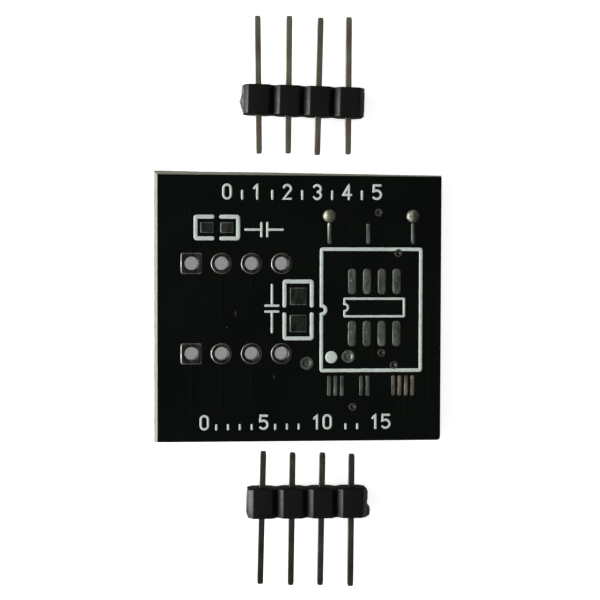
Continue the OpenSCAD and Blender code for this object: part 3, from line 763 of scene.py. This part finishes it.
ink, tree, shader = new_finish("white_ink", Roughness=0.55, IOR=1.45)
cover = grain(tree, 2.2, detail=4)
pits = grain(tree, 12, detail=3)
whites = [(0.3, (0.50, 0.57, 0.53)), (0.5, (0.59, 0.66, 0.615)), (0.7, (0.66, 0.72, 0.68))]
coloured(tree, shader, cover, whites)
raised(tree, shader, pits, 0.008, 0.5)


def wander(x, y):
    """The small unevenness of an ink edge at one place."""
    return 0.012 * noise.noise(Vector((x * 4, y * 4, 2))) + 0.006 * noise.noise(Vector((x * 14, y * 14, 7)))


def ink_line(points, faces, path, width):
    """A bead of ink along a path, with round ends."""
    half = width / 2
    stations = []
    last = len(path) - 1
    for k, p in enumerate(path):
        before = path[max(k - 1, 0)]
        after = path[min(k + 1, last)]
        one = (p - before).normalized() if (p - before).length > 1e-9 else (after - p).normalized()
        two = (after - p).normalized() if (after - p).length > 1e-9 else one
        along = (one + two).normalized()
        stations.append((p, along, 1 / max(0.6, along.dot(one))))
    start, way = stations[0][0], stations[0][1]
    stop, out = stations[-1][0], stations[-1][1]
    caps = [math.radians(a) for a in END_TURNS]
    stations = ([(start - way * half * math.sin(a), way, math.cos(a)) for a in caps] + stations
                + [(stop + out * half * math.sin(a), out, math.cos(a)) for a in caps[::-1]])
    first = len(points)
    for p, along, fat in stations:
        side = Vector((along.y, -along.x))
        for share, rise in INK_EDGE:
            at = p + side * share * (half * fat + wander(p.x + side.x * share, p.y + side.y * share))
            points.append((at.x, at.y, INK_LOW + INK_T * rise * min(1, fat * 1.6)))
    n = len(INK_EDGE)
    count = len(stations)
    for s in range(count - 1):
        for k in range(n):
            a, b = first + s * n + k, first + s * n + (k + 1) % n
            faces.append((a, b, b + n, a + n))
    faces.append(tuple(first + k for k in range(n)))
    faces.append(tuple(first + (count - 1) * n + k for k in range(n))[::-1])


def turned(a, corner, b, places):
    """Points of a small arc from a to b that bends towards a corner."""
    return [(1 - t) ** 2 * a + 2 * t * (1 - t) * corner + t * t * b for t in places]


def fine_path(corners, bend=0.0, step=0.12):
    """Points along straight runs between corners, with each corner turned on a small arc."""
    corners = [Vector(c) for c in corners]
    dense = []
    count = len(corners)
    for k in range(count):
        here = corners[k]
        if k in (0, count - 1) or bend == 0:
            dense.append([here])
            continue
        back = (corners[k - 1] - here).normalized()
        ahead = (corners[k + 1] - here).normalized()
        a, b = here + back * bend, here + ahead * bend
        dense.append(turned(a, here, b, (0, 0.25, 0.5, 0.75, 1)))
    path = []
    for k, turn in enumerate(dense):
        path += turn
        if k < count - 1:
            a, b = turn[-1], dense[k + 1][0]
            runs = max(1, round((b - a).length / step))
            path += [a + (b - a) * r / runs for r in range(1, runs)]
    return path


def arc(cx, cy, r, start, stop, count=14):
    """Points on part of a circle, from one angle in degrees to another."""
    return [Vector((cx + r * math.cos(math.radians(start + (stop - start) * k / count)),
                    cy + r * math.sin(math.radians(start + (stop - start) * k / count))))
            for k in range(count + 1)]


def print_piece(name, paths, width, node=None, finish=ink):
    """Makes one printed mark from the paths of its lines."""
    points, faces = [], []
    for path in paths:
        ink_line(points, faces, path, width)
    mark = make_piece(name, points, faces, 60)
    coat(mark, finish)
    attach(mark, "root")
    if node:
        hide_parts(node)
    return mark


def chip_outline(node, line, bend, notch):
    """A chip's outline with the notch at its first end, as one open path that meets itself."""
    low, high = [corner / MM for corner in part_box(node)]
    left, right = low.x + line / 2, high.x - line / 2
    bottom, top = low.y + line / 2, high.y - line / 2
    middle = (bottom + top) / 2
    lower = fine_path([(left, middle - notch), (left, bottom), (right, bottom), (right, top), (left, top),
                       (left, middle + notch)], bend)
    return lower + arc(left, middle, notch, 90, -90)[1:]


INK_CLEAR = 0.02
via_openings = []
for node in VIA_BORES:
    low, high = [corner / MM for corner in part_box(node)]
    middle = (low + high) / 2
    via_openings.append((Vector((middle.x, middle.y)), (high.x - low.x) / 2 + INK_CLEAR))

WIDE_LINE, NARROW_LINE = 0.3, 0.2
wide_outline = chip_outline("wide_chip_print", WIDE_LINE, bend=0.12, notch=0.36)
wide_ink = print_piece("wide_chip_ink", [wide_outline], WIDE_LINE, "wide_chip_print")
wide_box = [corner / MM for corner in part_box("wide_chip_print")]
opening_points, opening_faces = [], []
for centre, radius in via_openings:
    if wide_box[0].x < centre.x < wide_box[1].x and wide_box[0].y < centre.y < wide_box[1].y:
        disc = rounded(centre.x, centre.y, radius, radius, radius)
        add_to(opening_points, opening_faces, [at_height(disc, z) for z in (1.2, 2)])
combine(wide_ink, make_piece("openings", opening_points, opening_faces))
coat(wide_ink, ink)
smooth(wide_ink, 60)
narrow_outline = chip_outline("narrow_chip_print", NARROW_LINE, bend=0.04, notch=0.3)
print_piece("narrow_chip_ink", [narrow_outline], NARROW_LINE, "narrow_chip_print")

HEAVY = 0.34
HALF_GAP = 0.2
FRAME_BEND = 0.14
for name, node, upright in (("small_capacitor_ink", "small_capacitor_print", False),
                            ("large_capacitor_ink", "large_capacitor_print", True)):
    low, high = [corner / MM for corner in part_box(node)]
    middle = (low + high) / 2
    half_x, half_y = (high.x - low.x) / 2 - HEAVY / 2, (high.y - low.y) / 2 - HEAVY / 2
    lines = []
    for side in (-1, 1):
        end = HALF_GAP + HEAVY / 2
        if upright:
            steps = [(-half_x, side * end), (-half_x, side * half_y),
                     (half_x, side * half_y), (half_x, side * end)]
        else:
            steps = [(side * end, -half_y), (side * half_x, -half_y),
                     (side * half_x, half_y), (side * end, half_y)]
        lines.append(fine_path([(middle.x + x, middle.y + y) for x, y in steps], FRAME_BEND))
    print_piece(name, lines, HEAVY, node)

low, high = [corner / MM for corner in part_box("pin_one_dot")]
middle = (low + high) / 2
dot_r = (high.x - low.x) / 2
DOT_SIDES = 48
rings = []
for share, rise in ((1, 0), (0.97, 0.55), (0.9, 0.9), (0.5, 1), (0.1, 1)):
    ring = []
    for a in turns(DOT_SIDES):
        r = dot_r * share + wander(math.cos(a) * 2, math.sin(a) * 2)
        ring.append((middle.x + r * math.cos(a), middle.y + r * math.sin(a), INK_LOW + INK_T * rise))
    rings.append(ring)
dot = make_piece("pin_one_ink_dot", *stack(rings), crease=60)
coat(dot, ink)
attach(dot, "root")
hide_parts("pin_one_dot")


# Plain scales and signs in the same ink: tenths of an inch along the top, millimetres along the bottom,
# and the usual sign for a capacitor beside each of the two.
STROKE = 0.2


def numeral(digit, x, y, height):
    """The strokes of one digit, with its middle at x and its foot at y."""
    w, h = height * 0.27, height
    shapes = {
        "0": [arc(0, h - w, w, 0, 180) + arc(0, w, w, 180, 360) + [Vector((w, h - w))]],
        "1": [fine_path([(-w * 0.8, h * 0.76), (0, h), (0, 0)])],
        "2": [arc(0, h - w, w, 160, -20) + [Vector((-w, 0)), Vector((w, 0))]],
        "3": [arc(0, h * 0.74, h * 0.26, 150, -80), arc(0, h * 0.26, h * 0.27, 80, -150)],
        "4": [fine_path([(w * 0.5, 0), (w * 0.5, h), (-w, h * 0.3), (w * 1.1, h * 0.3)])],
        "5": [fine_path([(w, h), (-w * 0.8, h), (-w * 0.9, h * 0.58)])
              + arc(0, h * 0.32, h * 0.31, 110, -140)],
    }
    return [[Vector((x + p[0], y + p[1])) for p in stroke] for stroke in shapes[digit]]


def number(text, x, y, height):
    """The strokes of a number, centred on x."""
    step = height * 0.78
    strokes = []
    for k, digit in enumerate(text):
        strokes += numeral(digit, x + (k - (len(text) - 1) / 2) * step, y, height)
    return strokes


def scale_marks(texts, first_x, step, y, height, ticks):
    """Numbers at even steps with short ticks between them, the middle one longer."""
    strokes = []
    for k, text in enumerate(texts):
        x = first_x + k * step
        strokes += number(text, x, y, height)
        if k < len(texts) - 1:
            for t in range(1, ticks + 1):
                at = x + step * t / (ticks + 1)
                if at - x < height * 0.55 * len(text) or x + step - at < height * 0.55 * len(texts[k + 1]):
                    continue
                reach_up = 0.55 if 2 * t == ticks + 1 else 0.3
                strokes.append([Vector((at, y)), Vector((at, y + height * reach_up))])
    return strokes


tenths = scale_marks("012345", first_x=-6.05, step=2.54, y=9.1, height=1.16, ticks=3)
millimetres = scale_marks(["0", "5", "10", "15"], first_x=-7.95, step=5.0, y=-10.38, height=1.12, ticks=4)
print_piece("tenth_inch_scale", tenths, STROKE)
print_piece("millimetre_scale", millimetres, STROKE)
SIGNS = {
    "small_capacitor_sign": [[(-4.5, 6.49), (-3.15, 6.49)], [(-3.15, 5.93), (-3.15, 7.05)],
                             [(-2.65, 5.93), (-2.65, 7.05)], [(-2.65, 6.49), (-1.35, 6.49)]],
    "large_capacitor_sign": [[(-2.25, 1.83), (-2.25, 0.07)], [(-2.8, 0.07), (-1.7, 0.07)],
                             [(-2.8, -0.43), (-1.7, -0.43)], [(-2.25, -0.43), (-2.25, -2.17)]],
}
for name, strokes in SIGNS.items():
    print_piece(name, [fine_path(stroke) for stroke in strokes], STROKE)

FLECK = 0.03
thin_ink = new_finish("thin_ink", Roughness=0.6, Base_Color=(0.10, 0.12, 0.10, 1))[0]
flecks = [[(-5.36, -0.42), (-5.28, -0.82)], [(-2.12, -5.86), (-2.05, -6.12)],
          [(-6.10, -1.76), (-5.98, -1.79)]]
print_piece("stray_ink_flecks", [fine_path(fleck) for fleck in flecks], FLECK, finish=thin_ink)


# The pin strips' bodies: black glass-filled nylon moulded in a long row of chamfered sections.
# Each was snapped off a longer strip at a notch, which leaves a torn stub of the web on its ends.
PITCH = 2.54
BODY_T = 2.5
BODY_L = 2.54
HALF = PITCH / 2
STRIP_PLACES = {
    "upper": (Vector((0.4, 17.3)), math.radians(-1.4)),
    "lower": (Vector((0.77, -16.68)), math.radians(179.8)),
}
STUBS = {
    "upper": ([(0.06, 1.2), (0.15, 1.13), (0.18, 0.3), (0.34, -0.14), (0.19, -0.6), (0.02, -0.98)],
              [(0, 1), (0.02, 0.8), (0.02, -0.9), (0, -1.1)]),
    "lower": ([(0, 1.2), (0.3, 1.05), (0.34, 0.75), (0.3, 0.4), (0.04, 0.05), (0.04, -0.1), (0.1, -0.6),
               (0.08, -0.95), (0, -1.15)],
              [(0, 1.1), (0.1, 0.9), (0.08, 0.3), (0.05, -0.4), (0, -1.1)]),
}
STUB_LEVELS = (0, 0.06, 0.12, 0.2, 0.32, 0.44, 0.56, 0.68, 0.8, 0.88, 0.94, 1)
TORN = 0.05
STUB_ROOT = 0.1
END_STEPS = ((-1, 0.1), (-0.99, 0.05), (-0.965, 0.015), (-0.93, 0),
             (0.93, 0), (0.965, 0.015), (0.99, 0.05), (1, 0.1))
BULGE = 0.04
BODY_R = 0.07
CHAMFER = 0.46
FIRST_CHAMFER = {"upper": 0.34, "lower": CHAMFER}
VALLEY = 0.38

nylon, tree, shader = new_finish("black_nylon", IOR=1.5, Specular_IOR_Level=0.25)
skin = grain(tree, 4, detail=5)
flow = grain(tree, 0.7, (1, 0.3, 1), 3)
coloured(tree, shader, flow, [(0.3, (0.001, 0.002, 0.001)), (0.7, (0.003, 0.004, 0.003))])
roughened(tree, shader, skin, 0.28, 0.42)
raised(tree, shader, skin, 0.012, 0.5)

matt_nylon, tree, shader = new_finish("matt_black_nylon", IOR=1.5, Specular_IOR_Level=0.05, Roughness=0.9)
flow = grain(tree, 0.9, detail=3)
coloured(tree, shader, flow, [(0.3, (0.001, 0.0015, 0.001)), (0.7, (0.003, 0.004, 0.003))])


def soften(outline, r):
    """Rounds every corner of a closed outline."""
    soft = []
    for k, here in enumerate(outline):
        back = (outline[k - 1] - here).normalized()
        ahead = (outline[(k + 1) % len(outline)] - here).normalized()
        a, b = here + back * r, here + ahead * r
        soft += turned(a, here, b, (0, 0.33, 0.67, 1))
    return soft


def shrink(outline, amount):
    """Moves every side of a closed outline inwards."""
    moved = []
    for k, here in enumerate(outline):
        one = (here - outline[k - 1]).normalized()
        two = (outline[(k + 1) % len(outline)] - here).normalized()
        along = (one + two).normalized()
        moved.append(here + Vector((-along.y, along.x)) * amount)
    return moved


def strip_outline(name):
    """The strip's outline seen along its pins: four sections joined at the notches."""
    centres = [(k - 1.5) * PITCH for k in range(4)]
    under = []
    for c in centres:
        first = FIRST_CHAMFER[name] if c == centres[0] else CHAMFER
        under += [Vector((c - HALF, VALLEY)), Vector((c - HALF + first, 0)), Vector((c + HALF - CHAMFER, 0))]
    under.append(Vector((centres[-1] + HALF, VALLEY)))
    over = [Vector((p.x, BODY_T - p.y)) for p in under[::-1]]
    return under + over


def on_strip(name, p):
    """A point of a strip that lies at the origin, taken to the strip's place."""
    place, turn = STRIP_PLACES[name]
    x = p[0] * math.cos(turn) - p[1] * math.sin(turn)
    y = p[0] * math.sin(turn) + p[1] * math.cos(turn)
    return (place.x + x, place.y + y, p[2])


def end_bulge(x):
    """The moulding stands out a little in the middle of each section."""
    return BULGE * math.cos(2 * math.pi * (x - HALF) / PITCH)


for name in ("upper", "lower"):
    outline = soften(strip_outline(name), BODY_R)
    rings = []
    for y, inset in END_STEPS:
        ring = []
        for p in shrink(outline, inset):
            end = y * (BODY_L / 2 + end_bulge(p.x))
            ring.append(on_strip(name, (p.x, end, p.y)))
        rings.append(ring)
    points, faces = [], []
    add_to(points, faces, rings)
    for side, form in zip((-1, 1), STUBS[name]):
        rows = []
        edge = [Vector(p) for p in form]
        dense = fine_path(edge, 0, 0.1)
        for share in STUB_LEVELS:
            z = VALLEY + (BODY_T - 2 * VALLEY) * share
            lean = 1 - 0.25 * abs(share - 0.5) * 2
            sloped = (min(z, BODY_T - z) - VALLEY) * CHAMFER / VALLEY + 0.01
            row = []
            for p in dense:
                torn = noise.noise(Vector((p.y * 4, z * 4, side * 3 + len(name)))) * TORN
                out = min(p.x * lean + torn, sloped) if p.x > 0.01 else -0.05
                row.append((side * (2 * PITCH + out), p.y, z))
            root = side * (2 * PITCH - STUB_ROOT)
            row += [(root, dense[-1].y, z), (root, dense[0].y, z)]
            rows.append([on_strip(name, p) for p in row])
        add_to(points, faces, rows)
    body = make_piece(name + "_strip_nylon", points, faces, 32)
    turn = STRIP_PLACES[name][1]
    along_pins = Vector((-math.sin(turn), math.cos(turn), 0))

    def body_finish(at, normal, along_pins=along_pins):
        """Matt on the ends that the pins come out of, where the mould was spark-cut and left rough."""
        return 1 if abs(normal.dot(along_pins)) > 0.6 else 0

    finish_rings(body, [nylon, matt_nylon], body_finish)
    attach(body, "root")
    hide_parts(name + "_strip_body")


# The pins: square brass wire under a dull bronze-coloured plate, pressed through the bodies.
# The wire's corners are drawn round, and both ends are swaged down to a blunt tip.
PIN_HALF = 0.25
TIP = [(0, 0.66), (0.03, 0.8), (0.1, 0.92), (0.3, 1)]
CORNER_R = 0.03
TIP_NEAR = 0.05


def bronze_finish(name, dark, fair, bright):
    """A bronze-coloured plate over the fine lines of the wire's drawing, dulled unevenly."""
    finish, tree, shader = new_finish(name, Metallic=1.0)
    drawn = grain(tree, 3, (1, 0.08, 1), 4)
    tarnish = grain(tree, 0.5, detail=4)
    coloured(tree, shader, tarnish, [(0.3, dark), (0.5, fair), (0.7, bright)])
    roughened(tree, shader, drawn, 0.26, 0.42)
    raised(tree, shader, drawn, 0.01, 0.4)
    return finish


BRONZES = {
    "upper": bronze_finish("dull_bronze_plate", (0.20, 0.17, 0.12), (0.26, 0.24, 0.18), (0.32, 0.30, 0.23)),
    "lower": bronze_finish("dark_bronze_plate", (0.060, 0.058, 0.044), (0.085, 0.083, 0.066),
                           (0.13, 0.125, 0.10)),
}


def pin_ends(node):
    """The middles of a pin's two tips."""
    verts = [v.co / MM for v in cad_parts[node].data.vertices]
    ends = []
    for edge in (min(v.y for v in verts), max(v.y for v in verts)):
        near = [v for v in verts if abs(v.y - edge) < TIP_NEAR]
        ends.append(sum(near, Vector()) / len(near))
    return ends


for name in ("upper", "lower"):
    for k in range(1, 5):
        node = "%s_strip_pin_%d" % (name, k)
        low_end, high_end = pin_ends(node)
        length = (high_end - low_end).length
        along = (high_end - low_end).normalized()
        side = Vector((along.y, -along.x, 0))
        stations = TIP + [(length - at, share) for at, share in TIP[::-1]]
        rings = []
        for at, share in stations:
            middle = low_end + along * at
            section = rounded(0, 0, PIN_HALF * share, PIN_HALF * share, CORNER_R, 4)
            rings.append([tuple(middle + side * x + Vector((0, 0, z))) for x, z in section])
        pin = make_piece("%s_strip_wire_%d" % (name, k), *stack(rings), crease=40)
        coat(pin, BRONZES[name])
        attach(pin, "root")
        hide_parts(node)


# The table: a wide sheet of white paper under soft studio light, with a low soft box on the left.
# To the eye and in reflections it is plain white, and a painted shadow dims it where the object stands close
# over it.
FLOOR_R = 800
FLOOR_Z = -0.065
rim = [(FLOOR_R * math.cos(a), FLOOR_R * math.sin(a), FLOOR_Z) for a in turns()]
paper = make_piece("paper_table", rim, [tuple(range(SIDES))])
sheet_white, tree, shader = new_finish("white_paper", Roughness=0.9)
weave = grain(tree, 0.3, detail=3)
coloured(tree, shader, weave, [(0.3, (0.86, 0.86, 0.86)), (0.7, (0.88, 0.88, 0.88))])
rays = add_node(tree, "LightPath").outputs
direct = add_node(tree, "Math", [(0, rays["Is Camera Ray"]), (1, rays["Is Glossy Ray"])],
                  operation="MAXIMUM")
seen = add_node(tree, "Math", [(0, direct.outputs[0]), (1, rays["Is Transmission Ray"])],
                operation="MAXIMUM")
# Painted shadow: occlusion within 1.2 mm cuts the paper's glow, in the bores too.
nearby = add_node(tree, "AmbientOcclusion", Distance=1.2 * MM, samples=8)
open_sky = brought(tree, nearby.outputs["AO"], (0.1, 0.55), (0.0, 0.8))
glow = add_node(tree, "Math", [(0, seen.outputs[0]), (1, open_sky)], operation="MULTIPLY")
tree.links.new(glow.outputs[0], shader.inputs["Emission Strength"])
shader.inputs["Emission Color"].default_value = (1, 1, 1, 1)
coat(paper, sheet_white)
paper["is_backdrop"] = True

world = bpy.data.worlds.new("soft_room")
bpy.context.scene.world = world
world.use_nodes = True
tree = world.node_tree
back = tree.nodes["Background"]
way = add_node(tree, "TexCoord")
parts = add_node(tree, "SeparateXYZ", [("Vector", way.outputs["Generated"])])
left_side = brought(tree, parts.outputs["X"], (-0.45, -0.9), (0.0, 2.8), interpolation_type="SMOOTHSTEP")
dome = brought(tree, parts.outputs["X"], (0.9, 0.2), (0.05, 0.3), interpolation_type="SMOOTHSTEP")
shade = add_node(tree, "Math", [(0, dome), (1, left_side)], operation="ADD")
rays = add_node(tree, "LightPath").outputs
level = add_node(tree, "Mix", [("Factor", rays["Is Camera Ray"]), ("A", shade.outputs[0])], B=1.0)
tree.links.new(level.outputs["Result"], back.inputs["Strength"])
back.inputs["Color"].default_value = (1, 1, 1, 1)

BOX_W, BOX_H = 0.30, 0.14
BOX_WATTS = 1.9
BOX_PLACE = (-0.40, 0.0, 0.085)
BOX_AIM = Vector((0, 0, 0.002))
box_light = bpy.data.lights.new("soft_box", "AREA")
box_light.shape = "RECTANGLE"
box_light.size = BOX_W
box_light.size_y = BOX_H
box_light.energy = BOX_WATTS
soft_box = bpy.data.objects.new("soft_box", box_light)
bpy.context.collection.objects.link(soft_box)
soft_box.location = BOX_PLACE
soft_box.rotation_euler = (BOX_AIM - soft_box.location).to_track_quat("-Z", "Y").to_euler()
soft_box.visible_camera = False


# The camera looks down from almost straight above, a little to the left and up the board.
# That is how the photograph was taken.
VIEW_TURN = (math.radians(5.2), math.radians(2.2), math.radians(-0.15))
VIEW_STEP = Vector((-0.270, -0.485, -137.04))
lean, tip, roll = VIEW_TURN
to_view = Matrix.Rotation(roll, 3, "Z") @ Matrix.Rotation(tip, 3, "X") @ Matrix.Rotation(lean, 3, "Y")
camera_data = bpy.data.cameras.new("camera")
camera_data.lens = 96
camera_data.sensor_width = 36
camera = bpy.data.objects.new("camera", camera_data)
bpy.context.collection.objects.link(camera)
back_turn = to_view.transposed()
camera.matrix_world = Matrix.Translation(-(back_turn @ VIEW_STEP) * MM) @ back_turn.to_4x4()
camera_data.clip_start = 0.005
bpy.context.scene.camera = camera

bpy.context.scene.view_settings.view_transform = "Standard"

boxes = {"cad": [list(corner) for corner in cad_box], "visual": [list(corner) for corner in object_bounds()]}
